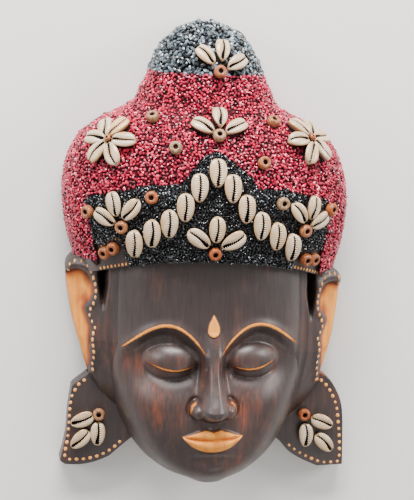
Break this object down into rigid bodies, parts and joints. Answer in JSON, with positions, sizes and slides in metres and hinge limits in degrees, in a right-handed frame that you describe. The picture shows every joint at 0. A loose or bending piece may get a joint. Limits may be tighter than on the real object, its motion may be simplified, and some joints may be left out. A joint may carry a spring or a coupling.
{
  "type": "wooden buddha mask",
  "caption": "Carved dark-wood wall mask of a calm buddha face with long ears, its headdress crusted with red and black stone chips and set with cowrie shells and beads.",
  "frame": {"origin": "on the rest plane under the middle of the mask, halfway between chin and crown", "axes": "+Y to the crown (the top of the mask), +Z out of the face, +X to the right of someone looking at the face; the mask lies on its back"},
  "size_m": [0.192, 0.3, 0.0794],
  "materials": {
    "dark_wood": "dark stained, satin lacquer, with lines and lips left in light wood",
    "red_chips": "crimson stone chips set close in dark glue",
    "black_chips": "glossy black stone chips set close in dark glue",
    "cowrie": "naturally glossy cream shell with a dark slit",
    "bead": "turned wooden bead, brown, half gloss",
    "wire": "dull grey steel wire"
  },
  "bodies": {
    "root": {"carved_mask": "dark_wood", "red_chip_crust": "red_chips", "black_band_crust": "black_chips", "black_topknot_crust": "black_chips", "chevron_cowrie_peak": "cowrie", "chevron_cowrie_left_1": "cowrie", "chevron_cowrie_right_1": "cowrie", "chevron_cowrie_left_2": "cowrie", "chevron_cowrie_right_2": "cowrie", "chevron_cowrie_left_3": "cowrie", "chevron_cowrie_right_3": "cowrie", "chevron_cowrie_left_4": "cowrie", "chevron_cowrie_right_4": "cowrie", "chevron_cowrie_left_5": "cowrie", "chevron_cowrie_right_5": "cowrie", "topknot_cowrie_1": "cowrie", "topknot_cowrie_2": "cowrie", "topknot_cowrie_3": "cowrie", "topknot_bead": "bead", "crown_cowrie_1": "cowrie", "crown_cowrie_2": "cowrie", "crown_cowrie_3": "cowrie", "crown_bead": "bead", "brow_cowrie_1": "cowrie", "brow_cowrie_2": "cowrie", "brow_cowrie_3": "cowrie", "brow_bead": "bead", "temple_left_cowrie_1": "cowrie", "temple_left_cowrie_2": "cowrie", "temple_left_cowrie_3": "cowrie", "temple_left_bead": "bead", "flap_left_cowrie_1": "cowrie", "flap_left_cowrie_2": "cowrie", "flap_left_cowrie_3": "cowrie", "flap_left_bead": "bead", "left_rosette": "cowrie", "left_rosette_bead": "bead", "temple_right_cowrie_1": "cowrie", "temple_right_cowrie_2": "cowrie", "temple_right_cowrie_3": "cowrie", "temple_right_bead": "bead", "flap_right_cowrie_1": "cowrie", "flap_right_cowrie_2": "cowrie", "flap_right_cowrie_3": "cowrie", "flap_right_bead": "bead", "right_rosette": "cowrie", "right_rosette_bead": "bead", "crown_left_bead": "bead", "crown_right_bead": "bead", "dome_left_bead": "bead", "dome_right_bead": "bead", "band_left_bead": "bead", "band_right_bead": "bead", "band_end_left_bead": "bead", "band_end_right_bead": "bead", "ear_bead_pair_left": "bead", "ear_bead_pair_right": "bead", "hanging_wire": "wire"}
  },
  "joints": []
}
